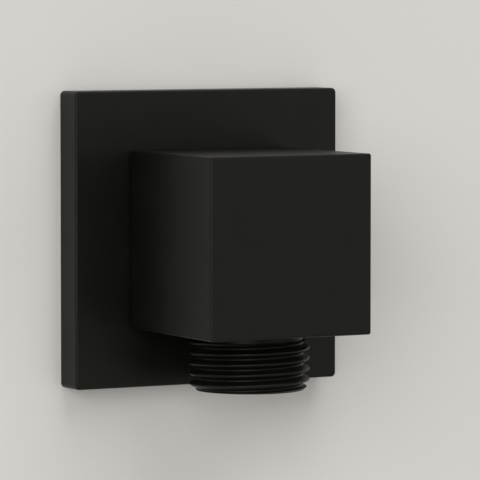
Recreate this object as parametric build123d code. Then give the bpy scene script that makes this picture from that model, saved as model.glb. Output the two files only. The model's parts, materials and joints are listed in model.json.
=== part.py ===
from build123d import *
import os
from math import radians, sqrt, tan

# Square wall outlet elbow for a hand shower. A nipple screws into the pipe in the wall, a hollow plate covers
# the hole round it, and the elbow block slides on the nipple's spigot and is held there by a grub screw. The
# waterway runs out of the wall, turns down in the block and leaves through a threaded outlet, which holds a
# check valve cartridge.
# Millimetres. X runs to the right, Y into the wall and Z up. The origin is on the wall plane, where the
# inlet's axis meets it, so the elbow stands out of the wall towards -Y and its outlet points down.

# Pipe thread of both ends, G 1/2, drawn as a plain cylinder at its major diameter
pipe_thread_diameter = 20.955
relief_depth = 1.28
relief_length = 1.4

# Wall plate, a hollow casting with a hub round the nipple's collar
plate_side = 52.0
plate_thickness = 6.0
plate_skin = 1.8
plate_rim = 2.0
plate_corner_radius = 0.8
plate_edge_radius = 0.4
collar_clearance = 0.3
hub_wall = 3.2
hub_setback = 0.8
hub_groove_depth = 1.2
hub_groove_width = 1.8

# Foam gasket in the back of the plate
gasket_width = 3.0
gasket_clearance = 0.3

# Elbow block with its outlet spigot
block_side = 31.2
block_depth = 30.6
block_edge_radius = 0.4
block_back_chamfer = 0.8
outlet_length = 10.0
outlet_chamfer = 1.0
outlet_wall = 1.7
outlet_bore_chamfer = 0.4
valve_shoulder_wall = 1.45
chamber_step = 0.4
chamber_rise = 0.6
drill_point_angle = 118.0

# Inlet nipple and the socket that it fits in the block
inlet_length = 14.0
inlet_chamfer = 1.2
inlet_bore_chamfer = 0.6
collar_step = 0.5
collar_chamfer = 0.3
spigot_step = 2.0
spigot_chamfer = 0.4
nipple_wall = 4.4
socket_clearance = 0.05
socket_lead = 0.5
socket_end_gap = 0.4
key_bite = 0.4
key_depth = 5.0

# Seal groove on the spigot, the room that an O-ring leaves in its groove, and the sides of a cord's section
spigot_groove_depth = 1.3
spigot_groove_width = 1.7
spigot_front_land = 0.9
spigot_middle_land = 0.5
o_ring_gap = 0.01
cord_sides = 8

# Grub screw, M4 with a hexagon socket, that holds the block on the spigot
grub_diameter = 4.0
grub_land = 0.1
grub_recess = 1.5
grub_clearance = 0.02
grub_mouth_chamfer = 0.3
grub_groove_depth = 1.0
grub_groove_play = 0.2
grub_tip_chamfer = 0.8
grub_key_flats = 2.0
grub_key_depth = 2.5

# Check valve cartridge: seat ring, cage, poppet with its seal, and spring
cartridge_clearance = 0.1
cartridge_recess = 1.2
seat_height = 4.0
seat_chamfer = 0.4
seat_groove_depth = 1.3
seat_groove_width = 1.8
seat_margin = 0.4
seal_overlap = 0.8
seal_gap = 0.06
seal_rise = 0.9
seal_drop = 0.7
seal_width = 1.6
cage_wall = 1.2
cage_lip_length = 1.0
cage_lip_step = 0.2
cage_lip_clearance = 0.05
flow_gap = 1.2
head_step = 0.3
head_thickness = 1.3
button_lip = 0.4
button_height = 0.6
button_cone = 0.5
stem_diameter = 2.8
stem_engagement = 1.4
guide_clearance = 0.05
guide_wall = 1.15
guide_height = 2.9
rib_count = 3
rib_width = 1.4
rib_height = 2.2
spring_wire = 0.4
spring_wire_sides = 6
spring_clearance = 0.4
spring_turns = 4.5

# Radii, worked inwards from the pipe thread
thread_r = pipe_thread_diameter / 2
relief_r = thread_r - relief_depth
collar_r = thread_r + collar_step
spigot_r = collar_r - spigot_step
socket_r = spigot_r + socket_clearance
spigot_groove_r = socket_r - spigot_groove_depth
waterway_r = spigot_r - nipple_wall
chamber_r = waterway_r + chamber_step
plate_hole_r = collar_r + collar_clearance
hub_groove_r = plate_hole_r + hub_groove_depth
valve_bore_r = relief_r - outlet_wall
cartridge_r = valve_bore_r - cartridge_clearance
cage_inner_r = cartridge_r - cage_wall
seal_r = cage_inner_r - flow_gap
seat_bore_r = seal_r - seal_overlap
seat_mouth_r = seal_r + seat_margin
seat_groove_r = valve_bore_r - seat_groove_depth
stem_r = stem_diameter / 2
guide_r = stem_r + guide_clearance
grub_hole_r = grub_diameter / 2 + grub_clearance
spring_r = stem_r + spring_clearance + spring_wire / 2

# Places along the inlet's axis, Y
plate_front = -plate_thickness
cavity_depth = plate_thickness - plate_skin
block_back = plate_front
outlet_y = block_back - block_depth / 2
grub_y = block_back - block_back_chamfer - grub_land - grub_mouth_chamfer - grub_hole_r
grub_groove_front = grub_y - grub_diameter / 2 - grub_groove_play
grub_groove_back = grub_y + grub_diameter / 2 + grub_groove_play
spigot_groove_back = grub_groove_front - spigot_middle_land
spigot_groove_front = spigot_groove_back - spigot_groove_width
spigot_end = spigot_groove_front - spigot_front_land
socket_floor = spigot_end - socket_end_gap

# Places along the outlet's axis, Z
underside = -block_side / 2
outlet_mouth = underside - outlet_length
chamber_top = waterway_r + chamber_rise
valve_shoulder = -socket_r - valve_shoulder_wall
seat_bottom = valve_shoulder - seat_height
cage_bottom = outlet_mouth + cartridge_recess
guide_top = cage_bottom + guide_height
head_top = seat_bottom - seal_drop
head_bottom = head_top - head_thickness
stem_end = guide_top - stem_engagement
seal_top = seat_bottom + seal_rise

# Half sections are drawn as (radius, place along the axis) and turned about the axis
inlet_section = Plane.XY
outlet_section = Plane.XZ.offset(-outlet_y)


def turned(section, points):
    """Solid turned about a section plane's own Y axis from a closed outline."""
    outline = section * make_face(Polyline(*points, close=True))
    return revolve(outline, Axis(section.origin, section.y_dir))


def cord_section(cord_r, sides):
    """Many-sided section of a round cord or wire, with its first flat across the X axis."""
    return RegularPolygon(cord_r, sides, major_radius=False, rotation=180 / sides)


def ring(section, inner_r, outer_r, place):
    """O-ring squeezed between two radii, so that it bears on flats, less its gap on both sides."""
    cord_r = (outer_r - inner_r) / 2 - o_ring_gap
    outline = section * Pos((inner_r + outer_r) / 2, place) * cord_section(cord_r, cord_sides)
    return revolve(outline, Axis(section.origin, section.y_dir))


def hexagon_hole(flats, start, depth, axis_plane):
    """Six-sided key socket, cut from a plane's origin along its normal."""
    outline = RegularPolygon(flats / 2, 6, major_radius=False)
    return extrude(axis_plane.offset(start) * outline, depth)


def make_wall_plate():
    """Hollow square plate, open to the wall, with a hub and an O-ring groove round the collar."""
    wall_plane = Plane.XZ
    outline = RectangleRounded(plate_side, plate_side, plate_corner_radius)
    plate = extrude(wall_plane * outline, plate_thickness)
    plate = fillet(plate.faces().sort_by(Axis.Y)[0].edges(), plate_edge_radius)
    inside = plate_side - 2 * plate_rim
    plate -= extrude(wall_plane * RectangleRounded(inside, inside, plate_corner_radius), cavity_depth)
    hub_r = plate_hole_r + hub_wall
    plate += turned(
        inlet_section,
        [(0, -cavity_depth), (hub_r, -cavity_depth), (hub_r, -hub_setback), (0, -hub_setback)],
    )
    groove_middle = (plate_front - hub_setback) / 2
    groove_front = groove_middle - hub_groove_width / 2
    groove_back = groove_middle + hub_groove_width / 2
    return plate - turned(
        inlet_section,
        [
            (0, plate_front),
            (plate_hole_r, plate_front),
            (plate_hole_r, groove_front),
            (hub_groove_r, groove_front),
            (hub_groove_r, groove_back),
            (plate_hole_r, groove_back),
            (plate_hole_r, -hub_setback),
            (0, -hub_setback),
        ],
    )


def make_plate_o_ring():
    """O-ring in the hub's groove, which grips the nipple's collar."""
    return ring(inlet_section, collar_r, hub_groove_r, (plate_front - hub_setback) / 2)


def make_plate_gasket():
    """Square foam frame that lies inside the plate's rim and seals it to the wall."""
    outside = plate_side - 2 * (plate_rim + gasket_clearance)
    inside = outside - 2 * gasket_width
    frame = RectangleRounded(outside, outside, plate_corner_radius) - Rectangle(inside, inside)
    return extrude(Plane.XZ * frame, cavity_depth)


def make_elbow_body():
    """Square block with the nipple's socket in its back and the valve's bore in its outlet spigot."""
    block = extrude(Plane.XZ.offset(-block_back) * Rectangle(block_side, block_side), block_depth)
    block = chamfer(block.edges().group_by(Axis.Y)[-1], block_back_chamfer)
    front_edges, long_edges = block.edges().group_by(Axis.Y)[:2]
    block = fillet(front_edges + long_edges, block_edge_radius)
    block += turned(
        outlet_section,
        [
            (0, underside),
            (relief_r, underside),
            (relief_r, underside - relief_length),
            (thread_r, underside - relief_length),
            (thread_r, outlet_mouth + outlet_chamfer),
            (thread_r - outlet_chamfer, outlet_mouth),
            (0, outlet_mouth),
        ],
    )
    drill_point = chamber_r / tan(radians(drill_point_angle / 2))
    block -= turned(
        outlet_section,
        [
            (0, outlet_mouth),
            (valve_bore_r + outlet_bore_chamfer, outlet_mouth),
            (valve_bore_r, outlet_mouth + outlet_bore_chamfer),
            (valve_bore_r, valve_shoulder),
            (chamber_r, valve_shoulder),
            (chamber_r, chamber_top),
            (0, chamber_top + drill_point),
        ],
    )
    block -= turned(
        inlet_section,
        [
            (0, outlet_y),
            (waterway_r, outlet_y),
            (waterway_r, socket_floor),
            (socket_r, socket_floor),
            (socket_r, block_back - socket_lead),
            (socket_r + socket_lead, block_back),
            (0, block_back),
        ],
    )
    return block - make_grub_hole()


def make_grub_hole():
    """Tapped hole for the grub screw, from the block's underside up into the socket."""
    return turned(
        Plane.XZ.offset(-grub_y),
        [
            (0, underside),
            (grub_hole_r + grub_mouth_chamfer, underside),
            (grub_hole_r, underside + grub_mouth_chamfer),
            (grub_hole_r, -spigot_r + grub_groove_depth),
            (0, -spigot_r + grub_groove_depth),
        ],
    )


def make_inlet_nipple():
    """Turned nipple: pipe thread into the wall, collar through the plate, grooved spigot in the block."""
    collar_back = -relief_length
    grub_groove_r = spigot_r - grub_groove_depth
    nipple = turned(
        inlet_section,
        [
            (waterway_r, inlet_length - inlet_bore_chamfer),
            (waterway_r + inlet_bore_chamfer, inlet_length),
            (thread_r - inlet_chamfer, inlet_length),
            (thread_r, inlet_length - inlet_chamfer),
            (thread_r, 0),
            (relief_r, 0),
            (relief_r, collar_back),
            (collar_r - collar_chamfer, collar_back),
            (collar_r, collar_back - collar_chamfer),
            (collar_r, block_back),
            (spigot_r, block_back),
            (spigot_r, grub_groove_back),
            (grub_groove_r, grub_groove_back),
            (grub_groove_r, grub_groove_front),
            (spigot_r, grub_groove_front),
            (spigot_r, spigot_groove_back),
            (spigot_groove_r, spigot_groove_back),
            (spigot_groove_r, spigot_groove_front),
            (spigot_r, spigot_groove_front),
            (spigot_r, spigot_end + spigot_chamfer),
            (spigot_r - spigot_chamfer, spigot_end),
            (waterway_r, spigot_end),
        ],
    )
    key_flats = 2 * (waterway_r + key_bite)
    into_spigot = Plane((0, spigot_end, 0), x_dir=(1, 0, 0), z_dir=(0, 1, 0))
    return nipple - hexagon_hole(key_flats, 0, key_depth, into_spigot)


def make_inlet_o_ring():
    """O-ring that seals the spigot in the block's socket."""
    return ring(inlet_section, spigot_groove_r, socket_r, (spigot_groove_front + spigot_groove_back) / 2)


def make_grub_screw():
    """Grub screw, its tip in the spigot's groove and its key socket facing down."""
    screw_r = grub_diameter / 2
    tip = -spigot_r + grub_groove_depth - grub_clearance
    foot = underside + grub_recess
    screw = turned(
        Plane.XZ.offset(-grub_y),
        [
            (0, foot),
            (screw_r, foot),
            (screw_r, tip - grub_tip_chamfer),
            (screw_r - grub_tip_chamfer, tip),
            (0, tip),
        ],
    )
    into_foot = Plane((0, grub_y, 0))
    return screw - hexagon_hole(grub_key_flats, foot, grub_key_depth, into_foot)


def make_valve_seat():
    """Seat ring: it bears on the shoulder in the bore, carries the cartridge's O-ring and ends in a cone."""
    groove_top = valve_shoulder - (seat_height - seat_groove_width) / 2
    groove_bottom = groove_top - seat_groove_width
    cone_height = seat_mouth_r - seat_bore_r
    lip_inner_r = seat_mouth_r + cage_lip_step
    lip_outer_r = cage_inner_r - cage_lip_clearance
    return turned(
        outlet_section,
        [
            (seat_bore_r + seat_chamfer, valve_shoulder),
            (cartridge_r - seat_chamfer, valve_shoulder),
            (cartridge_r, valve_shoulder - seat_chamfer),
            (cartridge_r, groove_top),
            (seat_groove_r, groove_top),
            (seat_groove_r, groove_bottom),
            (cartridge_r, groove_bottom),
            (cartridge_r, seat_bottom),
            (lip_outer_r, seat_bottom),
            (lip_outer_r, seat_bottom - cage_lip_length),
            (lip_inner_r, seat_bottom - cage_lip_length),
            (lip_inner_r, seat_bottom),
            (seat_mouth_r, seat_bottom),
            (seat_bore_r, seat_bottom + cone_height),
            (seat_bore_r, valve_shoulder - seat_chamfer),
        ],
    )


def make_valve_o_ring():
    """O-ring that seals the cartridge in the outlet's bore."""
    return ring(outlet_section, seat_groove_r, valve_bore_r, valve_shoulder - seat_height / 2)


def make_valve_cage():
    """Cage below the seat: a tube with ribs to a hub that guides the poppet's stem."""
    hub_r = guide_r + guide_wall
    cage = turned(
        outlet_section,
        [
            (cage_inner_r, cage_bottom),
            (cartridge_r, cage_bottom),
            (cartridge_r, seat_bottom),
            (cage_inner_r, seat_bottom),
        ],
    )
    cage += turned(
        outlet_section,
        [(0, cage_bottom), (hub_r, cage_bottom), (hub_r, guide_top), (0, guide_top)],
    )
    rib_length = (cage_inner_r + cartridge_r) / 2
    rib = Pos(rib_length / 2, 0, rib_height / 2) * Box(rib_length, rib_width, rib_height)
    for turn in range(rib_count):
        cage += Pos(0, outlet_y, cage_bottom) * Rot(0, 0, 90 + turn * 360 / rib_count) * rib
    return cage - turned(
        outlet_section,
        [(0, cage_bottom), (guide_r, cage_bottom), (guide_r, guide_top), (0, guide_top)],
    )


def make_valve_poppet():
    """Poppet: a button that holds the seal, the head that carries it and the stem that guides it."""
    boss_r = seal_r - seal_width
    head_r = seal_r - head_step
    button_r = boss_r + button_lip
    button_top = seal_top + button_height
    return turned(
        outlet_section,
        [
            (0, stem_end),
            (stem_r, stem_end),
            (stem_r, head_bottom),
            (head_r, head_bottom),
            (head_r, head_top),
            (boss_r, head_top),
            (boss_r, seal_top),
            (button_r, seal_top),
            (button_r, button_top),
            (button_r - button_cone, button_top + button_cone),
            (0, button_top + button_cone),
        ],
    )


def make_valve_seal():
    """Rubber ring on the poppet's boss, its shoulder parallel to the seat's cone."""
    inner_r = seal_r - seal_width + o_ring_gap
    cone_r = seat_mouth_r - seal_gap * sqrt(2)
    shoulder = seat_bottom + cone_r - seal_r
    return turned(
        outlet_section,
        [
            (inner_r, head_top),
            (seal_r, head_top),
            (seal_r, shoulder),
            (cone_r - seal_rise, seal_top),
            (inner_r, seal_top),
        ],
    )


def make_valve_spring():
    """Coil spring between the guide hub and the poppet's head."""
    height = head_bottom - guide_top - spring_wire
    foot = (0, outlet_y, guide_top + spring_wire / 2)
    coil = Helix(height / spring_turns, height, spring_r, center=foot)
    wire = Plane(coil @ 0, z_dir=coil % 0) * cord_section(spring_wire / 2, spring_wire_sides)
    return sweep(wire, path=coil, is_frenet=True)


pieces = {
    "wall_plate": make_wall_plate(),
    "plate_o_ring": make_plate_o_ring(),
    "plate_gasket": make_plate_gasket(),
    "elbow_body": make_elbow_body(),
    "inlet_nipple": make_inlet_nipple(),
    "inlet_o_ring": make_inlet_o_ring(),
    "grub_screw": make_grub_screw(),
    "valve_seat": make_valve_seat(),
    "valve_o_ring": make_valve_o_ring(),
    "valve_cage": make_valve_cage(),
    "valve_poppet": make_valve_poppet(),
    "valve_seal": make_valve_seal(),
    "valve_spring": make_valve_spring(),
}
os.makedirs("parts", exist_ok=True)
for name, piece in pieces.items():
    export_step(piece, f"parts/{name}.step")
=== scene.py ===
"""Looks of a square wall outlet elbow: satin black castings, a brass nipple, seals and a check valve."""

import json
import logging
import math
from dataclasses import dataclass
from enum import Enum
from typing import Any

import bmesh
import bpy
from mathutils import Matrix, Vector


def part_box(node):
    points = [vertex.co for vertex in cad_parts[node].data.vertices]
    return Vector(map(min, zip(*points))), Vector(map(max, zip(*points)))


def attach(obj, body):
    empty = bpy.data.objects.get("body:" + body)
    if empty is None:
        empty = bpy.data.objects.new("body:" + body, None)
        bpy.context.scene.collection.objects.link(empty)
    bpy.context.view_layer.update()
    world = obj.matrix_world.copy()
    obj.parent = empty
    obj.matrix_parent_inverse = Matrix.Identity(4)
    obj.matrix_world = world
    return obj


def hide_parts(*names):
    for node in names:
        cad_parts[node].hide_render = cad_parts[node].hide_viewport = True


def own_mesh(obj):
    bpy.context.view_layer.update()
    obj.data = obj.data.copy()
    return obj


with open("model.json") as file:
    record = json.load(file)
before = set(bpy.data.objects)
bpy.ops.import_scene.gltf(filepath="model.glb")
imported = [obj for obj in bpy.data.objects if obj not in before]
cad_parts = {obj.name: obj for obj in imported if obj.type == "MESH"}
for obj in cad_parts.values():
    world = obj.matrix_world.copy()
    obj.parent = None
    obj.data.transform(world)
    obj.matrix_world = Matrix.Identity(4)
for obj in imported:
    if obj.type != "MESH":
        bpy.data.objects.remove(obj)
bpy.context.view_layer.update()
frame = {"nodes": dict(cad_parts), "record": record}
MM = 0.001
INCH = 25.4
UPRIGHT = Vector((0, 0, 1)).freeze()

Colour = tuple[float, float, float]
Place = tuple[float, float, float]
Span = tuple[float, float]
Socket = bpy.types.NodeSocket
Material = bpy.types.Material
Feed = Socket | float | int | bool | tuple
log = logging.getLogger("wall_outlet_elbow")


class Body(Enum):
    """Bodies of the frame that a piece can ride on."""

    ELBOW = "elbow"
    POPPET = "poppet"


class Slot(Enum):
    """Material slots of the record, by name."""

    BLACK_COAT = "black_coat"
    NIPPLE_BRASS = "nipple_brass"
    SCREW_STEEL = "screw_steel"
    SPRING_STEEL = "spring_steel"
    SEAL_RUBBER = "seal_rubber"
    GASKET_FOAM = "gasket_foam"
    VALVE_WHITE = "valve_white"
    VALVE_BLUE = "valve_blue"


class PipeEnd(Enum):
    """Threaded ends of the fitting, named as the record names their mounts."""

    INLET = "inlet_thread"
    OUTLET = "outlet_thread"

    @property
    def mount(self) -> dict[str, Any]:
        """The record's mount of this end."""
        return next(mount for mount in frame["record"]["mounts"] if mount["name"] == self.value)

    @property
    def place(self) -> Vector:
        """A point on the end's axis, in metres."""
        return Vector(self.mount["pos_m"])

    @property
    def axis(self) -> Vector:
        """Direction in which the end points."""
        return Vector(self.mount["axis"])

    @property
    def crest_radius(self) -> float:
        """Outer radius of the end's thread, in millimetres."""
        return self.mount["dims"]["r_mm"]

    def distance(self, point: Vector) -> float:
        """Distance of a point from the end's axis, in metres."""
        offset = point - self.place
        return (offset - self.axis * offset.dot(self.axis)).length


def opaque(colour: Colour) -> tuple[float, float, float, float]:
    """A colour with full cover, as a socket takes it."""
    return (*colour, 1.0)


def new_object(name: str, data: bpy.types.ID) -> bpy.types.Object:
    """Put a new object into the scene.

    Args:
        name: Name of the object.
        data: Mesh, lamp or camera that it holds.

    Returns:
        The object.
    """
    made = bpy.data.objects.new(name, data)
    bpy.context.scene.collection.objects.link(made)
    return made


def evaluated_mesh(piece: bpy.types.Object) -> bpy.types.Mesh:
    """What a piece's modifiers make of it, as a plain mesh."""
    graph = bpy.context.evaluated_depsgraph_get()
    return bpy.data.meshes.new_from_object(piece.evaluated_get(graph))


def standing(axis: Vector, place: Vector) -> Matrix:
    """Transform that stands an upright shape on an axis, with its origin at a place in metres."""
    return Matrix.Translation(place) @ axis.to_track_quat("Z", "Y").to_matrix().to_4x4()


def point_at(holder: bpy.types.Object, place: Place, aim: Place) -> None:
    """Put a lamp or a camera in its place, turned to its aim, both in metres."""
    holder.location = place
    holder.rotation_euler = (Vector(aim) - Vector(place)).to_track_quat("-Z", "Y").to_euler()


class NodeTree:
    """Node tree whose nodes are added, set and fed in one call."""

    def __init__(self, tree: bpy.types.NodeTree) -> None:
        """Take hold of Blender's own tree."""
        self.tree = tree

    def node(self, kind: str, feeds: dict[str | int, Feed] | None = None, **settings: Any) -> bpy.types.Node:
        """Add a node, set its properties and feed its inputs.

        Args:
            kind: Blender's type name of the node.
            feeds: Inputs by name or number, each with an output to link or a constant.
            **settings: Properties of the node.

        Returns:
            The new node.
        """
        node = self.tree.nodes.new(kind)
        for name, value in settings.items():
            setattr(node, name, value)
        for name, value in (feeds or {}).items():
            self.feed(node.inputs[name], value)
        return node

    def feed(self, socket: Socket, value: Feed) -> None:
        """Link an output to an input, or set the input to a constant.

        Args:
            socket: Input to feed.
            value: Output to link, or a constant.
        """
        if isinstance(value, Socket):
            self.tree.links.new(value, socket)
        else:
            socket.default_value = value


@dataclass(frozen=True)
class Relief:
    """Pattern raised on a surface. Millimetres.

    Attributes:
        size: Size of its features.
        height: Height of its relief.
    """

    size: float
    height: float


class Shader(NodeTree):
    """Principled material whose patterns are read on Object coordinates.

    Attributes:
        noise_span: Range that most of a noise lies in.
    """

    noise_span: Span = (0.3, 0.7)

    def __init__(self, name: str) -> None:
        """Start the material with its surface and its coordinates.

        Args:
            name: Name of the material.
        """
        self.material = bpy.data.materials.new(name)
        self.material.use_nodes = True
        super().__init__(self.material.node_tree)
        self.surface = self.tree.nodes["Principled BSDF"]
        self.place = self.node("ShaderNodeTexCoord").outputs["Object"]

    def noise(self, grain: float, place: Socket | None = None, detail: float = 2.0) -> Socket:
        """Soft noise.

        Args:
            grain: Size of its largest features, in millimetres.
            place: Coordinates to read, or Object coordinates.
            detail: Finer octaves that are added.

        Returns:
            Noise from 0 to 1, mostly near its middle.
        """
        vector = self.place if place is None else place
        feeds = {"Vector": vector, "Scale": 1 / (grain * MM), "Detail": detail}
        return self.node("ShaderNodeTexNoise", feeds).outputs["Fac"]

    def cells(self, grain: float) -> Socket:
        """Distance from the middle of cells of a size in millimetres, about 1 at their edges."""
        feeds = {"Vector": self.place, "Scale": 1 / (grain * MM)}
        return self.node("ShaderNodeTexVoronoi", feeds).outputs["Distance"]

    def vector_math(self, operation: str, *feeds: Feed) -> bpy.types.Node:
        """Node that calculates with vectors, by Blender's name of the operation."""
        return self.node("ShaderNodeVectorMath", dict(enumerate(feeds)), operation=operation)

    def turned(self, axis: Vector, place: Vector) -> Socket:
        """Coordinates of a turned surface, so that a pattern runs round its axis.

        Args:
            axis: Direction of the axis.
            place: Point on the axis, in metres.

        Returns:
            Coordinates that hold the radius and the place along the axis.
        """
        across = tuple(1 - abs(part) for part in axis)
        offset = self.vector_math("SUBTRACT", self.place, tuple(place)).outputs["Vector"]
        flat = self.vector_math("MULTIPLY", offset, across).outputs["Vector"]
        radius = self.vector_math("LENGTH", flat).outputs["Value"]
        along = self.vector_math("DOT_PRODUCT", offset, tuple(axis)).outputs["Value"]
        return self.node("ShaderNodeCombineXYZ", {"X": radius, "Y": along}).outputs["Vector"]

    def spread(self, factor: Socket, low: float, high: float) -> Socket:
        """Noise stretched over a range.

        Args:
            factor: Noise from 0 to 1.
            low: Value where the noise is low.
            high: Value where the noise is high.

        Returns:
            The stretched value, held within the range.
        """
        lowest, highest = self.noise_span
        feeds = {"Value": factor, "From Min": lowest, "From Max": highest, "To Min": low, "To Max": high}
        return self.node("ShaderNodeMapRange", feeds).outputs["Result"]

    def mixed(self, factor: Socket, low: Colour, high: Colour) -> Socket:
        """Colour between two others.

        Args:
            factor: Noise from 0 to 1.
            low: Colour where the noise is low.
            high: Colour where the noise is high.

        Returns:
            The mixed colour.
        """
        mix = self.node("ShaderNodeMix", data_type="RGBA")
        self.feed(mix.inputs["Factor"], self.spread(factor, 0.0, 1.0))
        low_socket, high_socket = [socket for socket in mix.inputs if socket.type == "RGBA"]
        self.feed(low_socket, opaque(low))
        self.feed(high_socket, opaque(high))
        return next(socket for socket in mix.outputs if socket.type == "RGBA")

    def bump(self, height: Socket, depth: float, under: Socket | None = None) -> Socket:
        """Relief from a height.

        Args:
            height: Height from 0 to 1.
            depth: Height of 1, in millimetres.
            under: Normal of the relief that this one lies on.

        Returns:
            The normal of the relief.
        """
        feeds = {"Height": height, "Distance": depth * MM, "Strength": 1.0}
        if under is not None:
            feeds["Normal"] = under
        return self.node("ShaderNodeBump", feeds).outputs["Normal"]

    def grained(self, relief: Relief) -> Socket:
        """Normal of a relief that follows soft noise."""
        return self.bump(self.noise(relief.size), relief.height)

    def finish(self, sockets: dict[str, Feed]) -> Material:
        """Set the surface.

        Args:
            sockets: Sockets of the surface by name, each with an output or a constant.

        Returns:
            The finished material.
        """
        for name, value in sockets.items():
            self.feed(self.surface.inputs[name], value)
        return self.material


@dataclass(frozen=True)
class BlackCoat:
    """Satin black coat, smooth to the eye, with a fine grain and a slight unevenness of the sprayed film.

    Attributes:
        dark: Colour of the film where it is thick.
        pale: Colour of the film where it is thin.
        thinning: Size of the thin and thick patches, in millimetres.
        sheen: Roughness of the film, low and high.
        refraction: Refractive index of the film.
        cast: Tint of its shine.
        grain: Fine grain of the film.
        film: Unevenness of the film.
    """

    dark: Colour = (0.0026, 0.0027, 0.0022)
    pale: Colour = (0.0036, 0.0036, 0.0030)
    thinning: float = 4.8
    sheen: Span = (0.38, 0.46)
    refraction: float = 1.27
    cast: Colour = (1.0, 0.99, 0.86)
    grain: Relief = Relief(0.16, 0.0012)
    film: Relief = Relief(1.6, 0.0030)

    def material(self) -> Material:
        """Make the coat's material.

        Returns:
            The material.
        """
        shader = Shader("black_coat")
        grain = shader.noise(self.grain.size, detail=1.0)
        return shader.finish(
            {
                "Base Color": shader.mixed(shader.noise(self.thinning), self.dark, self.pale),
                "Roughness": shader.spread(grain, *self.sheen),
                "IOR": self.refraction,
                "Specular Tint": opaque(self.cast),
                "Normal": shader.bump(grain, self.grain.height, shader.grained(self.film)),
            }
        )


@dataclass(frozen=True)
class TurnedMetal:
    """Bare metal from the lathe, with tool marks round its axis and a stain from handling.

    Attributes:
        name: Name of the material.
        bright: Colour of the fresh metal.
        stained: Colour of the stained metal.
        polish: Roughness, low and high.
        marks: Tool marks.
        stain: Size of the stains, in millimetres.
    """

    name: str
    bright: Colour
    stained: Colour
    polish: Span
    marks: Relief = Relief(0.09, 0.0016)
    stain: float = 5.0

    def material(self, axis: Vector, place: Vector) -> Material:
        """Make the metal's material on one axis.

        Args:
            axis: Direction of the axis that it was turned on.
            place: Point on that axis, in metres.

        Returns:
            The material.
        """
        shader = Shader(self.name)
        marks = shader.noise(self.marks.size, shader.turned(axis, place), detail=3.0)
        stain = shader.noise(self.stain, detail=4.0)
        return shader.finish(
            {
                "Base Color": shader.mixed(stain, self.bright, self.stained),
                "Metallic": 1.0,
                "Roughness": shader.spread(stain, *self.polish),
                "Normal": shader.bump(marks, self.marks.height),
            }
        )


RAW_BRASS = TurnedMetal(
    name="raw_brass",
    bright=(0.66, 0.47, 0.20),
    stained=(0.52, 0.35, 0.15),
    polish=(0.24, 0.40),
)
OXIDE_STEEL = TurnedMetal(
    name="oxide_steel",
    bright=(0.13, 0.13, 0.14),
    stained=(0.07, 0.07, 0.075),
    polish=(0.34, 0.50),
)
BRIGHT_STEEL = TurnedMetal(
    name="spring_steel",
    bright=(0.60, 0.60, 0.61),
    stained=(0.48, 0.48, 0.50),
    polish=(0.20, 0.32),
)


@dataclass(frozen=True)
class SealRubber:
    """Black sealing rubber with a dull, slightly bloomed skin.

    Attributes:
        clean: Colour of the clean rubber.
        bloomed: Colour of the bloom on it.
        bloom: Size of the bloom's patches, in millimetres.
        skin: Roughness, low and high.
        grain: Moulded grain.
    """

    clean: Colour = (0.010, 0.010, 0.010)
    bloomed: Colour = (0.026, 0.026, 0.027)
    bloom: float = 1.5
    skin: Span = (0.48, 0.66)
    grain: Relief = Relief(0.12, 0.003)

    def material(self) -> Material:
        """Make the rubber's material.

        Returns:
            The material.
        """
        shader = Shader("seal_rubber")
        bloom = shader.noise(self.bloom, detail=4.0)
        return shader.finish(
            {
                "Base Color": shader.mixed(bloom, self.clean, self.bloomed),
                "Roughness": shader.spread(bloom, *self.skin),
                "Normal": shader.grained(self.grain),
            }
        )


@dataclass(frozen=True)
class GasketFoam:
    """Dark closed-cell foam, cut from sheet, with its cells showing and painted shade in their hollows.

    Attributes:
        deep: Colour of the open cells' hollows, darkened as painted shade.
        wall: Colour of the walls between them.
        cell: Open cells.
        fuzz: Finer roughness of the cut.
        dullness: Roughness.
    """

    deep: Colour = (0.018, 0.018, 0.019)
    wall: Colour = (0.060, 0.060, 0.062)
    cell: Relief = Relief(0.55, 0.10)
    fuzz: Relief = Relief(0.2, 0.02)
    dullness: float = 0.85

    def material(self) -> Material:
        """Make the foam's material.

        Returns:
            The material.
        """
        shader = Shader("gasket_foam")
        cells = shader.cells(self.cell.size)
        return shader.finish(
            {
                # Painted shade: the colour darkens towards the middle of each cell, where the bump sinks into
                # a hollow
                "Base Color": shader.mixed(cells, self.deep, self.wall),
                "Roughness": self.dullness,
                "Normal": shader.bump(cells, self.cell.height, shader.grained(self.fuzz)),
            }
        )


@dataclass(frozen=True)
class ValvePlastic:
    """Moulded engineering plastic with flow marks and a soft shine.

    Attributes:
        name: Name of the material.
        deep: Colour where the plastic is dense.
        pale: Colour along its flow marks.
        flow: Size of the flow marks, in millimetres.
        shine: Roughness, low and high.
        grain: Fine grain of the skin.
        milk: Share of the light that scatters inside it.
        milk_depth: How deep that light goes, in millimetres.
    """

    name: str
    deep: Colour
    pale: Colour
    flow: float = 2.2
    shine: Span = (0.30, 0.42)
    grain: Relief = Relief(0.3, 0.002)
    milk: float = 0.15
    milk_depth: float = 1.0

    def material(self) -> Material:
        """Make the plastic's material.

        Returns:
            The material.
        """
        shader = Shader(self.name)
        flow = shader.noise(self.flow, detail=3.0)
        return shader.finish(
            {
                "Base Color": shader.mixed(flow, self.deep, self.pale),
                "Roughness": shader.spread(flow, *self.shine),
                "Subsurface Weight": self.milk,
                "Subsurface Scale": self.milk_depth * MM,
                "Normal": shader.grained(self.grain),
            }
        )


WHITE_PLASTIC = ValvePlastic("valve_white", deep=(0.70, 0.70, 0.66), pale=(0.77, 0.77, 0.74))
BLUE_PLASTIC = ValvePlastic("valve_blue", deep=(0.045, 0.13, 0.36), pale=(0.065, 0.18, 0.45))


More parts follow.
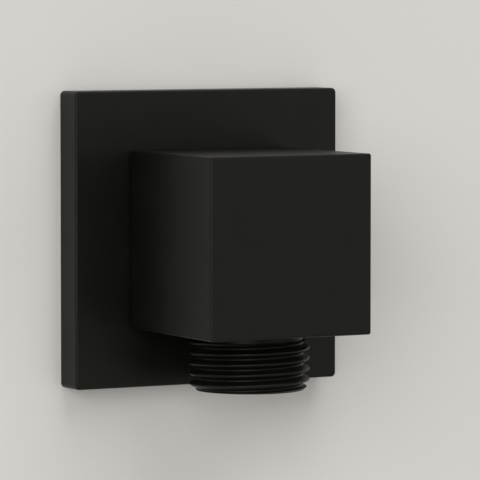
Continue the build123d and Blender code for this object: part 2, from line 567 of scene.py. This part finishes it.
@dataclass(frozen=True)
class Finishes:
    """Materials of the whole object.

    Attributes:
        black_coat: Coat of plate and block.
        inlet_brass: Brass turned on the inlet's axis.
        outlet_brass: Brass turned on the outlet's axis.
        screw_steel: Dark steel of the grub screw.
        spring_steel: Bright steel of the valve's spring.
        seal_rubber: Rubber of the rings and of the poppet's seal.
        gasket_foam: Foam of the plate's gasket.
        valve_white: Plastic of the valve's seat and cage.
        valve_blue: Plastic of the valve's poppet.
    """

    black_coat: Material
    inlet_brass: Material
    outlet_brass: Material
    screw_steel: Material
    spring_steel: Material
    seal_rubber: Material
    gasket_foam: Material
    valve_white: Material
    valve_blue: Material

    @classmethod
    def mixed(cls) -> "Finishes":
        """Make every material once.

        Returns:
            The set of materials.
        """
        lowest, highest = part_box("grub_screw")
        return cls(
            black_coat=BlackCoat().material(),
            inlet_brass=RAW_BRASS.material(PipeEnd.INLET.axis, PipeEnd.INLET.place),
            outlet_brass=RAW_BRASS.material(PipeEnd.OUTLET.axis, PipeEnd.OUTLET.place),
            screw_steel=OXIDE_STEEL.material(UPRIGHT, (lowest + highest) / 2),
            spring_steel=BRIGHT_STEEL.material(UPRIGHT, PipeEnd.OUTLET.place),
            seal_rubber=SealRubber().material(),
            gasket_foam=GasketFoam().material(),
            valve_white=WHITE_PLASTIC.material(),
            valve_blue=BLUE_PLASTIC.material(),
        )


class FormTree(NodeTree):
    """Geometry node tree with named sizes, which ends in Realize Instances and Set Material."""

    def __init__(self, name: str, sizes: dict[str, float]) -> None:
        """Start the tree with one input for each size.

        Args:
            name: Name of the tree.
            sizes: Values of its inputs by name, lengths in metres.
        """
        super().__init__(bpy.data.node_groups.new(name, "GeometryNodeTree"))
        self.name = name
        self.sizes = sizes
        sockets = self.tree.interface
        sockets.new_socket("Geometry", in_out="INPUT", socket_type="NodeSocketGeometry")
        for size in sizes:
            sockets.new_socket(size, in_out="INPUT", socket_type="NodeSocketFloat")
        sockets.new_socket("Finish", in_out="INPUT", socket_type="NodeSocketMaterial")
        sockets.new_socket("Geometry", in_out="OUTPUT", socket_type="NodeSocketGeometry")
        self.inputs = self.node("NodeGroupInput").outputs

    def product(self, one: Feed, two: Feed) -> Socket:
        """Product of two values."""
        return self.node("ShaderNodeMath", {0: one, 1: two}, operation="MULTIPLY").outputs["Value"]

    def upward(self, height: Feed) -> Socket:
        """Vector that points straight up, with a height in metres."""
        return self.node("ShaderNodeCombineXYZ", {"Z": height}).outputs["Vector"]

    def raised(self, shape: Socket, height: Feed) -> Socket:
        """Shape moved up by a height in metres."""
        feeds = {"Geometry": shape, "Translation": self.upward(height)}
        return self.node("GeometryNodeTransform", feeds).outputs["Geometry"]

    def circle(self, pieces: int, radius: Feed) -> Socket:
        """Circle of some straight pieces, with a radius in metres."""
        feeds = {"Resolution": pieces, "Radius": radius}
        return self.node("GeometryNodeCurvePrimitiveCircle", feeds).outputs["Curve"]

    def helix(self, pieces: int, turns: Feed, radius: Feed, height: Feed) -> Socket:
        """Right-hand helix that climbs from the origin.

        Args:
            pieces: Straight pieces in a turn.
            turns: Number of turns.
            radius: Its radius, in metres.
            height: Its whole height, in metres.

        Returns:
            The curve.
        """
        feeds = {
            "Resolution": pieces,
            "Rotations": turns,
            "Start Radius": radius,
            "End Radius": radius,
            "Height": height,
            "Reverse": True,
        }
        return self.node("GeometryNodeCurveSpiral", feeds).outputs["Curve"]

    def swept(self, path: Socket, section: Socket, capped: bool) -> Socket:
        """Section swept along a path, kept upright.

        Args:
            path: Curve to follow.
            section: Closed curve to sweep.
            capped: Whether the ends are closed.

        Returns:
            The swept mesh.
        """
        upright = self.node("GeometryNodeSetCurveNormal", {"Curve": path}, mode="Z_UP").outputs["Curve"]
        feeds = {"Curve": upright, "Profile Curve": section, "Fill Caps": capped}
        return self.node("GeometryNodeCurveToMesh", feeds).outputs["Mesh"]

    def mesh(self, shape: Socket, finish: Material, outline: bpy.types.Mesh | None = None) -> bpy.types.Mesh:
        """Close the tree and make its result a plain mesh.

        Args:
            shape: Geometry that the tree has made.
            finish: Material of the result.
            outline: Mesh that the tree starts from, where it needs one.

        Returns:
            The result.
        """
        real = self.node("GeometryNodeRealizeInstances", {"Geometry": shape}).outputs["Geometry"]
        feeds = {"Geometry": real, "Material": self.inputs["Finish"]}
        dressed = self.node("GeometryNodeSetMaterial", feeds).outputs["Geometry"]
        self.node("NodeGroupOutput", {"Geometry": dressed})
        start = bpy.data.meshes.new("bare") if outline is None else outline
        holder = new_object(self.name, start)
        modifier = holder.modifiers.new(self.name, "NODES")
        modifier.node_group = self.tree
        values = {**self.sizes, "Finish": finish}
        for item in self.tree.interface.items_tree:
            if item.in_out == "INPUT" and item.name in values:
                modifier[item.identifier] = values[item.name]
        made = evaluated_mesh(holder)
        bpy.data.objects.remove(holder)
        bpy.data.meshes.remove(start)
        return made


@dataclass(frozen=True)
class ThreadForm:
    """Screw thread with crests and roots rounded by one radius. Millimetres.

    Attributes:
        pitch: Distance from crest to crest.
        half_angle: Angle of a flank from the radius, in degrees.
        rounding: Radius of crests and roots.
        crest_flat: Width that the tool leaves on a crest.
        overreach: How far the tool stands out of the thread.
        steps: Straight pieces in half a round.
    """

    pitch: float
    half_angle: float
    rounding: float
    crest_flat: float
    overreach: float = 0.15
    steps: int = 5

    @property
    def depth(self) -> float:
        """Depth of the thread from crest to root.

        Returns:
            The depth.
        """
        half = math.radians(self.half_angle)
        sharp = self.pitch / (2 * math.tan(half))
        return sharp - 2 * self.rounding * (1 / math.sin(half) - 1)

    def rounded(self, first: float, last: float) -> list[tuple[float, float]]:
        """Points of a rounding between two angles from its top.

        Args:
            first: Angle where it starts, in radians.
            last: Angle where it ends, in radians.

        Returns:
            How far each point lies below the top, and how far along the thread's axis from it.
        """
        angles = [first + (last - first) * step / self.steps for step in range(self.steps + 1)]
        drops = [self.rounding * (1 - math.cos(angle)) for angle in angles]
        return [(drop, self.rounding * math.sin(angle)) for drop, angle in zip(drops, angles)]

    def groove(self) -> bpy.types.Mesh:
        """Outline of one groove, which lies on the thread's axis along Y and goes down against X.

        Returns:
            A closed row of edges.
        """
        flank = math.radians(90 - self.half_angle)
        least = math.asin(self.crest_flat / 2 / self.rounding)
        root = [(self.depth - drop, along) for drop, along in self.rounded(0.0, flank)]
        crest = [(drop, self.pitch / 2 - along) for drop, along in self.rounded(flank, least)]
        half = [*root, *crest, (-self.overreach, (self.pitch - self.crest_flat) / 2)]
        outline = [*half, *[(depth, -along) for depth, along in reversed(half[1:])]]
        count = len(outline)
        mesh = bpy.data.meshes.new("groove")
        points = [(-depth * MM, -along * MM, 0.0) for depth, along in outline]
        mesh.from_pydata(points, [(k, (k + 1) % count) for k in range(count)], [])
        return mesh


# The pipe thread has 14 turns to the inch, and its rounding is a set share of its pitch
PIPE_PITCH = INCH / 14
PIPE_ROUNDING = 0.137329 * PIPE_PITCH
PIPE_THREAD = ThreadForm(PIPE_PITCH, half_angle=27.5, rounding=PIPE_ROUNDING, crest_flat=0.1)
SCREW_THREAD = ThreadForm(pitch=0.7, half_angle=30.0, rounding=0.06, crest_flat=0.05)


@dataclass(frozen=True)
class ThreadCut:
    """Helical cutter for a right-hand thread, from a place in its relief to past its mouth.

    Attributes:
        form: Form of the thread.
        crest_radius: Radius of the crests, in millimetres.
        start: Point on the axis where the cut begins, in metres.
        axis: Direction in which it runs.
        run: Length of the cut, in millimetres.
        facets: Straight pieces in a turn.
        spare_turns: Turns of the groove past each end of the cut.
        drum_share: Radius of the drum that ends the cut, as a share of the crests' radius.
    """

    form: ThreadForm
    crest_radius: float
    start: Vector
    axis: Vector
    run: float
    facets: int = 112
    spare_turns: int = 1
    drum_share: float = 2.0

    def cutter(self, finish: Material) -> bpy.types.Mesh:
        """Make the cutter in its place.

        Args:
            finish: Material that the cut faces get.

        Returns:
            A closed mesh to take away from the blank.
        """
        turns = math.ceil(self.run / self.form.pitch) + 2 * self.spare_turns
        sizes = {
            "Crest Radius": self.crest_radius * MM,
            "Turns": float(turns),
            "Pitch": self.form.pitch * MM,
            "Run": self.run * MM,
        }
        tree = FormTree("thread_cutter", sizes)
        cut = tree.node("GeometryNodeMeshBoolean", operation="INTERSECT", solver="MANIFOLD")
        for part in (self.wound_groove(tree), self.drum(tree)):
            tree.feed(cut.inputs["Mesh 2"], part)
        mesh = tree.mesh(cut.outputs["Mesh"], finish, self.form.groove())
        mesh.transform(standing(self.axis, self.start))
        return mesh

    def wound_groove(self, tree: FormTree) -> Socket:
        """Groove wound round the axis, with its spare turns at both ends.

        Args:
            tree: Tree of the cutter.

        Returns:
            The groove as a closed mesh.
        """
        size = tree.inputs
        height = tree.product(size["Turns"], size["Pitch"])
        helix = tree.helix(self.facets, size["Turns"], size["Crest Radius"], height)
        outline = tree.node("GeometryNodeMeshToCurve", {"Mesh": size["Geometry"]}).outputs["Curve"]
        groove = tree.swept(helix, outline, capped=True)
        return tree.raised(groove, tree.product(size["Pitch"], -float(self.spare_turns)))

    def drum(self, tree: FormTree) -> Socket:
        """Drum over the length of the cut, which ends the groove square.

        Args:
            tree: Tree of the cutter.

        Returns:
            The drum as a closed mesh.
        """
        size = tree.inputs
        radius = tree.product(size["Crest Radius"], self.drum_share)
        drum = tree.node("GeometryNodeMeshCylinder", {"Radius": radius, "Depth": size["Run"]})
        return tree.raised(drum.outputs["Mesh"], tree.product(size["Run"], 0.5))


class Workpiece:
    """One piece of the object while it is made, from its first mesh to its place in the frame.

    Attributes:
        join_distance: How close corners lie that become one, in metres.
        flat_angle: Greatest angle between faces that become one, in radians.
        edge_angle: Least angle of an edge that is rounded, in radians.
        piece: The object in the scene.
    """

    join_distance: float = 1e-7
    flat_angle: float = math.radians(0.2)
    edge_angle: float = math.radians(40)

    def __init__(self, name: str, mesh: bpy.types.Mesh) -> None:
        """Put a mesh into the scene under the piece's name."""
        mesh.name = name
        self.piece = new_object(name, mesh)

    @classmethod
    def from_node(cls, node: str, name: str) -> "Workpiece":
        """Start from a copy of a solid, with its loose triangles joined and its flat faces made whole.

        Args:
            node: Name of the solid.
            name: Name of the piece.

        Returns:
            The new workpiece.
        """
        mesh = frame["nodes"][node].data.copy()
        mesh.materials.clear()
        normals = mesh.attributes.get("custom_normal")
        if normals is not None:
            mesh.attributes.remove(normals)
        shape = bmesh.new()
        shape.from_mesh(mesh)
        bmesh.ops.remove_doubles(shape, verts=shape.verts, dist=cls.join_distance)
        bmesh.ops.dissolve_limit(shape, angle_limit=cls.flat_angle, verts=shape.verts, edges=shape.edges)
        shape.to_mesh(mesh)
        shape.free()
        return cls(name, mesh)

    def settle(self) -> None:
        """Turn the piece's modifiers into its mesh."""
        rough = self.piece.data
        self.piece.data = evaluated_mesh(self.piece)
        self.piece.modifiers.clear()
        bpy.data.meshes.remove(rough)

    def cut(self, tool: bpy.types.Mesh) -> None:
        """Take a closed tool away from the piece.

        Args:
            tool: Mesh of the tool, in its place.
        """
        holder = new_object("tool", tool)
        modifier = self.piece.modifiers.new("cut", "BOOLEAN")
        modifier.operation = "DIFFERENCE"
        modifier.solver = "MANIFOLD"
        modifier.object = holder
        self.settle()
        bpy.data.objects.remove(holder)
        bpy.data.meshes.remove(tool)

    def dress(self, *finishes: Material) -> None:
        """Give the piece its materials.

        Args:
            *finishes: Materials, the main one first.
        """
        self.piece.data.materials.clear()
        for finish in finishes:
            self.piece.data.materials.append(finish)

    def soften(self, width: float, steps: int = 2) -> None:
        """Round the piece's sharp edges.

        Args:
            width: Width of the rounding, in millimetres.
            steps: Faces across the rounding.
        """
        modifier = self.piece.modifiers.new("soft edges", "BEVEL")
        modifier.width = width * MM
        modifier.segments = steps
        modifier.limit_method = "ANGLE"
        modifier.angle_limit = self.edge_angle
        modifier.use_clamp_overlap = False
        self.settle()

    def smooth(self, crease: float = 34.0) -> None:
        """Shade the piece smooth up to its creases, with its large faces kept flat.

        Args:
            crease: Least angle of a crease, in degrees.
        """
        self.piece.data.shade_smooth()
        self.piece.data.set_sharp_from_angle(angle=math.radians(crease))
        modifier = self.piece.modifiers.new("flat faces", "WEIGHTED_NORMAL")
        modifier.keep_sharp = True
        self.settle()

    def hand_over(self, body: Body, slot: Slot, node: str) -> bpy.types.Object:
        """Let the piece stand for a solid of the frame.

        Args:
            body: Body that it rides on.
            slot: Slot that its finish comes from; not used.
            node: Solid that it replaces.

        Returns:
            The piece.
        """
        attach(self.piece, body.value)
        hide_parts(node)
        log.info("%s stands for %s, with %d faces", self.piece.name, node, len(self.piece.data.polygons))
        return self.piece


@dataclass(frozen=True)
class ORing:
    """Round rubber ring in the place of a many-sided solid.

    Attributes:
        node: Solid that it replaces.
        around: Straight pieces round the ring.
        across: Straight pieces round the cord.
    """

    node: str
    around: int = 144
    across: int = 28

    def build(self, finishes: Finishes) -> None:
        """Make the ring and hand it over.

        Args:
            finishes: Materials of the object.
        """
        lowest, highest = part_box(self.node)
        size = highest - lowest
        thin = min(range(3), key=lambda part: size[part])
        cord = size[thin] / 2
        tree = FormTree(self.node, {"Ring Radius": max(size) / 2 - cord, "Cord Radius": cord})
        path = tree.circle(self.around, tree.inputs["Ring Radius"])
        section = tree.circle(self.across, tree.inputs["Cord Radius"])
        mesh = tree.mesh(tree.swept(path, section, capped=False), finishes.seal_rubber)
        axis = Vector([float(part == thin) for part in range(3)])
        mesh.transform(standing(axis, (lowest + highest) / 2))
        ring = Workpiece("round_" + self.node, mesh)
        ring.smooth()
        ring.hand_over(Body.ELBOW, Slot.SEAL_RUBBER, self.node)


@dataclass(frozen=True)
class WallCover:
    """Square plate on the wall, with its foam gasket and the ring that grips the nipple."""

    def build(self, finishes: Finishes) -> None:
        """Make the cover's pieces.

        Args:
            finishes: Materials of the object.
        """
        plate = Workpiece.from_node("wall_plate", "black_wall_plate")
        plate.dress(finishes.black_coat)
        plate.smooth()
        plate.hand_over(Body.ELBOW, Slot.BLACK_COAT, "wall_plate")
        gasket = Workpiece.from_node("plate_gasket", "foam_gasket")
        gasket.dress(finishes.gasket_foam)
        gasket.smooth()
        gasket.hand_over(Body.ELBOW, Slot.GASKET_FOAM, "plate_gasket")
        ORing("plate_o_ring").build(finishes)


@dataclass(frozen=True)
class ElbowBlock:
    """Square block with its threaded outlet, and the grub screw in its underside. Millimetres.

    Attributes:
        pipe_thread: Form of the outlet's thread.
        screw_thread: Form of the grub screw's thread.
        screw_facets: Straight pieces in a turn of the screw's thread.
        relief_middle: Distance from the underside to the middle of the outlet's relief.
        overrun: How far a cut runs past the end of its thread.
        bore_margin: How far the bare brass of a bore reaches past the ring that seals in it.
    """

    pipe_thread: ThreadForm = PIPE_THREAD
    screw_thread: ThreadForm = SCREW_THREAD
    screw_facets: int = 64
    relief_middle: float = 0.7
    overrun: float = 0.4
    bore_margin: float = 0.1

    def build(self, finishes: Finishes) -> None:
        """Make the block and its screw, in the object's materials."""
        self.build_block(finishes)
        self.build_screw(finishes)

    def build_block(self, finishes: Finishes) -> None:
        """Make the block, cut its thread and leave its bores bare.

        Args:
            finishes: Materials of the object.
        """
        end = PipeEnd.OUTLET
        lowest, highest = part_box("elbow_body")
        # The block is square round the inlet's axis, so its underside is as far from it as its side
        underside = -highest.x
        start = Vector((0, end.place.y, underside - self.relief_middle * MM))
        run = (start.z - lowest.z) / MM + self.overrun
        thread = ThreadCut(self.pipe_thread, end.crest_radius, start, end.axis, run)
        block = Workpiece.from_node("elbow_body", "black_elbow_block")
        block.dress(finishes.black_coat, finishes.outlet_brass, finishes.inlet_brass)
        block.cut(thread.cutter(finishes.black_coat))
        self.bare_bores(block)
        block.smooth()
        block.hand_over(Body.ELBOW, Slot.BLACK_COAT, "elbow_body")

    def bare_bores(self, block: Workpiece) -> None:
        """Give the faces inside the valve's bore and the nipple's socket their bare brass.

        Args:
            block: The block, with its coat first and the brass of its outlet and inlet after it.
        """
        mesh = block.piece.data
        bores = (("valve_o_ring", PipeEnd.OUTLET), ("inlet_o_ring", PipeEnd.INLET))
        for index, (node, end) in enumerate(bores, start=1):
            bore_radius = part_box(node)[1].x + self.bore_margin * MM
            inside = [end.distance(corner.co) < bore_radius for corner in mesh.vertices]
            for face in mesh.polygons:
                if all(inside[corner] for corner in face.vertices):
                    face.material_index = index

    def build_screw(self, finishes: Finishes) -> None:
        """Make the grub screw and cut its thread.

        Args:
            finishes: Materials of the object.
        """
        lowest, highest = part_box("grub_screw")
        middle = (lowest + highest) / 2
        foot = Vector((middle.x, middle.y, lowest.z - self.overrun * MM))
        run = (highest.z - lowest.z) / MM + 2 * self.overrun
        radius = (highest.x - lowest.x) / 2 / MM
        thread = ThreadCut(self.screw_thread, radius, foot, UPRIGHT, run, self.screw_facets)
        screw = Workpiece.from_node("grub_screw", "threaded_grub_screw")
        screw.dress(finishes.screw_steel)
        screw.cut(thread.cutter(finishes.screw_steel))
        screw.smooth()
        screw.hand_over(Body.ELBOW, Slot.SCREW_STEEL, "grub_screw")


@dataclass(frozen=True)
class InletNipple:
    """Brass nipple that screws into the wall, with the ring that seals it in the block. Millimetres.

    Attributes:
        pipe_thread: Form of its thread.
        relief_middle: Distance from the thread's start to the middle of its relief.
        overrun: How far the cut runs past the end of the thread.
        edge_round: Width of the rounding on the turned edges.
    """

    pipe_thread: ThreadForm = PIPE_THREAD
    relief_middle: float = 0.7
    overrun: float = 0.4
    edge_round: float = 0.12

    def build(self, finishes: Finishes) -> None:
        """Make the nipple, cut its thread and add its ring.

        Args:
            finishes: Materials of the object.
        """
        end = PipeEnd.INLET
        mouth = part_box("inlet_nipple")[1].y / MM
        start = end.place - end.axis * self.relief_middle * MM
        run = mouth + self.relief_middle + self.overrun
        thread = ThreadCut(self.pipe_thread, end.crest_radius, start, end.axis, run)
        nipple = Workpiece.from_node("inlet_nipple", "brass_inlet_nipple")
        nipple.dress(finishes.inlet_brass)
        nipple.soften(self.edge_round)
        nipple.cut(thread.cutter(finishes.inlet_brass))
        nipple.smooth()
        nipple.hand_over(Body.ELBOW, Slot.NIPPLE_BRASS, "inlet_nipple")
        ORing("inlet_o_ring").build(finishes)


@dataclass(frozen=True)
class CheckValve:
    """Cartridge in the outlet: white seat and cage, blue poppet with its seal, and a spring. Millimetres.

    Attributes:
        spring_wire: Diameter of the spring's wire.
        spring_turns: Turns of the spring.
        edge_round: Width of the rounding on the moulded edges.
        facets: Straight pieces in a turn of the spring.
        across: Straight pieces round its wire.
    """

    spring_wire: float = 0.4
    spring_turns: float = 4.5
    edge_round: float = 0.12
    facets: int = 64
    across: int = 16

    def build(self, finishes: Finishes) -> None:
        """Make the cartridge's pieces.

        Args:
            finishes: Materials of the object.
        """
        self.mould("valve_seat", "white_valve_seat", finishes.valve_white, Body.ELBOW, Slot.VALVE_WHITE)
        self.mould("valve_cage", "white_valve_cage", finishes.valve_white, Body.ELBOW, Slot.VALVE_WHITE)
        self.mould("valve_poppet", "blue_valve_poppet", finishes.valve_blue, Body.POPPET, Slot.VALVE_BLUE)
        self.mould("valve_seal", "rubber_valve_seal", finishes.seal_rubber, Body.POPPET, Slot.SEAL_RUBBER)
        ORing("valve_o_ring").build(finishes)
        self.build_spring(finishes)

    def mould(self, node: str, name: str, finish: Material, body: Body, slot: Slot) -> None:
        """Make one moulded piece.

        Args:
            node: Solid that it replaces.
            name: Name of the piece.
            finish: Its material.
            body: Body that it rides on.
            slot: Slot of the record that matches its finish.
        """
        piece = Workpiece.from_node(node, name)
        piece.dress(finish)
        piece.soften(self.edge_round)
        piece.smooth()
        piece.hand_over(body, slot, node)

    def build_spring(self, finishes: Finishes) -> None:
        """Put the spring in its place.

        Args:
            finishes: Materials of the object.
        """
        lowest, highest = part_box("valve_spring")
        middle = PipeEnd.OUTLET.place
        height = highest.z - lowest.z
        mesh = self.wound_spring(highest.x - lowest.x, height, finishes.spring_steel)
        mesh.transform(Matrix.Translation((middle.x, middle.y, lowest.z + self.spring_wire * MM / 2)))
        spring = Workpiece("coiled_valve_spring", mesh)
        spring.smooth()
        piece = spring.hand_over(Body.ELBOW, Slot.SPRING_STEEL, "valve_spring")
        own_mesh(piece)

    def wound_spring(self, width: float, height: float, finish: Material) -> bpy.types.Mesh:
        """Wind the spring upright, with its end turns closed.

        Args:
            width: Its width over the wire, in metres.
            height: Its height over the wire, in metres.
            finish: Its material.

        Returns:
            The spring, with the end of its wire at the origin's height.
        """
        wire = self.spring_wire * MM
        closed_height = wire * self.spring_turns
        sizes = {
            "Coil Radius": (width - wire) / 2,
            "Wire Radius": wire / 2,
            "Turns": self.spring_turns,
            "Closed Height": closed_height,
            "Free Rise": height - wire - closed_height,
        }
        tree = FormTree("coil_spring", sizes)
        size = tree.inputs
        flat = tree.helix(self.facets, size["Turns"], size["Coil Radius"], size["Closed Height"])
        along = tree.node("GeometryNodeSplineParameter").outputs["Factor"]
        eased = tree.node("ShaderNodeMapRange", {"Value": along}, interpolation_type="SMOOTHSTEP")
        lift = tree.upward(tree.product(eased.outputs["Result"], size["Free Rise"]))
        coil = tree.node("GeometryNodeSetPosition", {"Geometry": flat, "Offset": lift}).outputs["Geometry"]
        section = tree.circle(self.across, size["Wire Radius"])
        return tree.mesh(tree.swept(coil, section, capped=True), finish)


@dataclass(frozen=True)
class SoftLamp:
    """Square soft lamp that shines at the object. Metres and watts.

    Attributes:
        name: Name of the lamp.
        place: Where it hangs.
        side: Length of its side.
        power: Its power.
        tint: Colour of its light.
        aim: Point that it shines at.
    """

    name: str
    place: Place
    side: float
    power: float
    tint: Colour = (1.0, 0.985, 0.96)
    aim: Place = (0.0, 0.0, 0.0)

    def hang(self) -> None:
        """Put the lamp into the scene, turned to the object and hidden from the camera."""
        lamp = bpy.data.lights.new(self.name, "AREA")
        lamp.size = self.side
        lamp.energy = self.power
        lamp.color = self.tint
        holder = new_object(self.name, lamp)
        holder.visible_camera = False
        point_at(holder, self.place, self.aim)
        log.info("%s hangs at %s", self.name, self.place)


@dataclass(frozen=True)
class PaleRoom:
    """Pale wall that the plate lies on, a floor below it, and soft light. Metres.

    Attributes:
        wall_colour: Colour of the wall.
        floor_colour: Colour of the floor.
        dullness: Roughness of both.
        sky: Colour of the light from all sides.
        sky_strength: Strength of that light.
        gap: Distance from the plate to the wall.
        overlap: How far the plate covers the edge of the wall's opening behind it.
        wall_reach: Half width of the wall.
        floor_reach: Half width of the floor.
        floor_level: Height of the floor.
        lamps: Lamps of the room.
    """

    wall_colour: Colour = (0.58, 0.577, 0.56)
    floor_colour: Colour = (0.60, 0.59, 0.56)
    dullness: float = 0.8
    sky: Colour = (1.0, 0.99, 0.97)
    sky_strength: float = 0.40
    gap: float = 0.00005
    overlap: float = 0.0003
    wall_reach: float = 2.0
    floor_reach: float = 0.9
    floor_level: float = -0.9
    lamps: tuple[SoftLamp, ...] = (
        SoftLamp("key_lamp", place=(0.1, -1.1, 1.6), side=1.4, power=18.0),
        SoftLamp("left_lamp", place=(-1.5, -1.8, 0.5), side=1.6, power=32.0),
        SoftLamp("right_lamp", place=(0.95, -1.8, 0.0), side=1.6, power=5.0),
        SoftLamp("back_lamp", place=(-0.5, 1.1, 0.7), side=1.4, power=20.0),
    )

    def build(self) -> None:
        """Put wall, floor, sky and lamps into the scene."""
        self.build_wall()
        self.build_floor()
        self.build_sky()
        for lamp in self.lamps:
            lamp.hang()

    def paint(self, name: str, colour: Colour) -> Shader:
        """Dull paint of one colour.

        Args:
            name: Name of the material.
            colour: Its colour.

        Returns:
            The material's shader.
        """
        shader = Shader(name)
        shader.finish({"Base Color": opaque(colour), "Roughness": self.dullness})
        return shader

    def build_wall(self) -> None:
        """Wall with an opening behind the plate, seen through from behind."""
        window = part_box("wall_plate")[1].x - self.overlap
        lines = (-self.wall_reach, -window, window, self.wall_reach)
        points = [(x, self.gap, z) for z in lines for x in lines]
        across = len(lines)
        opening = (1, 1)
        quads = []
        for row in range(across - 1):
            for column in range(across - 1):
                if (row, column) != opening:
                    corner = across * row + column
                    quads.append((corner, corner + 1, corner + across + 1, corner + across))
        shader = self.paint("pale_wall", self.wall_colour)
        clear = shader.node("ShaderNodeBsdfTransparent").outputs["BSDF"]
        behind = shader.node("ShaderNodeNewGeometry").outputs["Backfacing"]
        one_way = shader.node("ShaderNodeMixShader", {0: behind, 1: shader.surface.outputs["BSDF"], 2: clear})
        shader.feed(shader.tree.nodes["Material Output"].inputs["Surface"], one_way.outputs["Shader"])
        self.stand("pale_wall", points, quads, shader.material)

    def build_floor(self) -> None:
        """Floor well below the object."""
        side = (-self.floor_reach, self.floor_reach)
        points = [(x, y, self.floor_level) for y in side for x in side]
        shader = self.paint("pale_floor", self.floor_colour)
        self.stand("pale_floor", points, [(0, 1, 3, 2)], shader.material)

    def stand(self, name: str, points: list[Place], faces: list[tuple[int, ...]], finish: Material) -> None:
        """Put one flat piece of the room into the scene.

        Args:
            name: Name of the piece.
            points: Its corners.
            faces: Its faces, by the numbers of their corners.
            finish: Its material.
        """
        mesh = bpy.data.meshes.new(name)
        mesh.from_pydata(points, [], faces)
        mesh.materials.append(finish)
        piece = new_object(name, mesh)
        log.info("%s stands as part of the room", name)

    def build_sky(self) -> None:
        """Even light from all sides."""
        world = bpy.data.worlds.new("pale_sky")
        world.use_nodes = True
        background = world.node_tree.nodes["Background"]
        background.inputs["Color"].default_value = opaque(self.sky)
        background.inputs["Strength"].default_value = self.sky_strength
        bpy.context.scene.world = world


@dataclass(frozen=True)
class PhotoCamera:
    """Camera at the photograph's viewing angle, framed on the object. Metres.

    Attributes:
        place: Where it stands.
        aim: Point that it looks at.
        lens: Focal length, in millimetres.
        nearest: Least distance that it shows.
    """

    place: Place = (-0.3295, -0.6297, 0.045)
    aim: Place = (0.001, -0.016, 0.0)
    lens: float = 300.0
    nearest: float = 0.01

    def set_up(self) -> None:
        """Put the camera into the scene and make it the scene's own."""
        camera = bpy.data.cameras.new("photo_camera")
        camera.lens = self.lens
        camera.clip_start = self.nearest
        holder = new_object("photo_camera", camera)
        point_at(holder, self.place, self.aim)
        bpy.context.scene.camera = holder


def main() -> None:
    """Build the object's sub-assemblies in order, then the room and the camera."""
    logging.basicConfig(level=logging.INFO, format="%(name)s: %(message)s")
    bpy.context.scene.view_settings.view_transform = "Standard"
    finishes = Finishes.mixed()
    for assembly in (WallCover(), ElbowBlock(), InletNipple(), CheckValve()):
        assembly.build(finishes)
    PaleRoom().build()
    PhotoCamera().set_up()


if __name__ == "__main__":
    main()
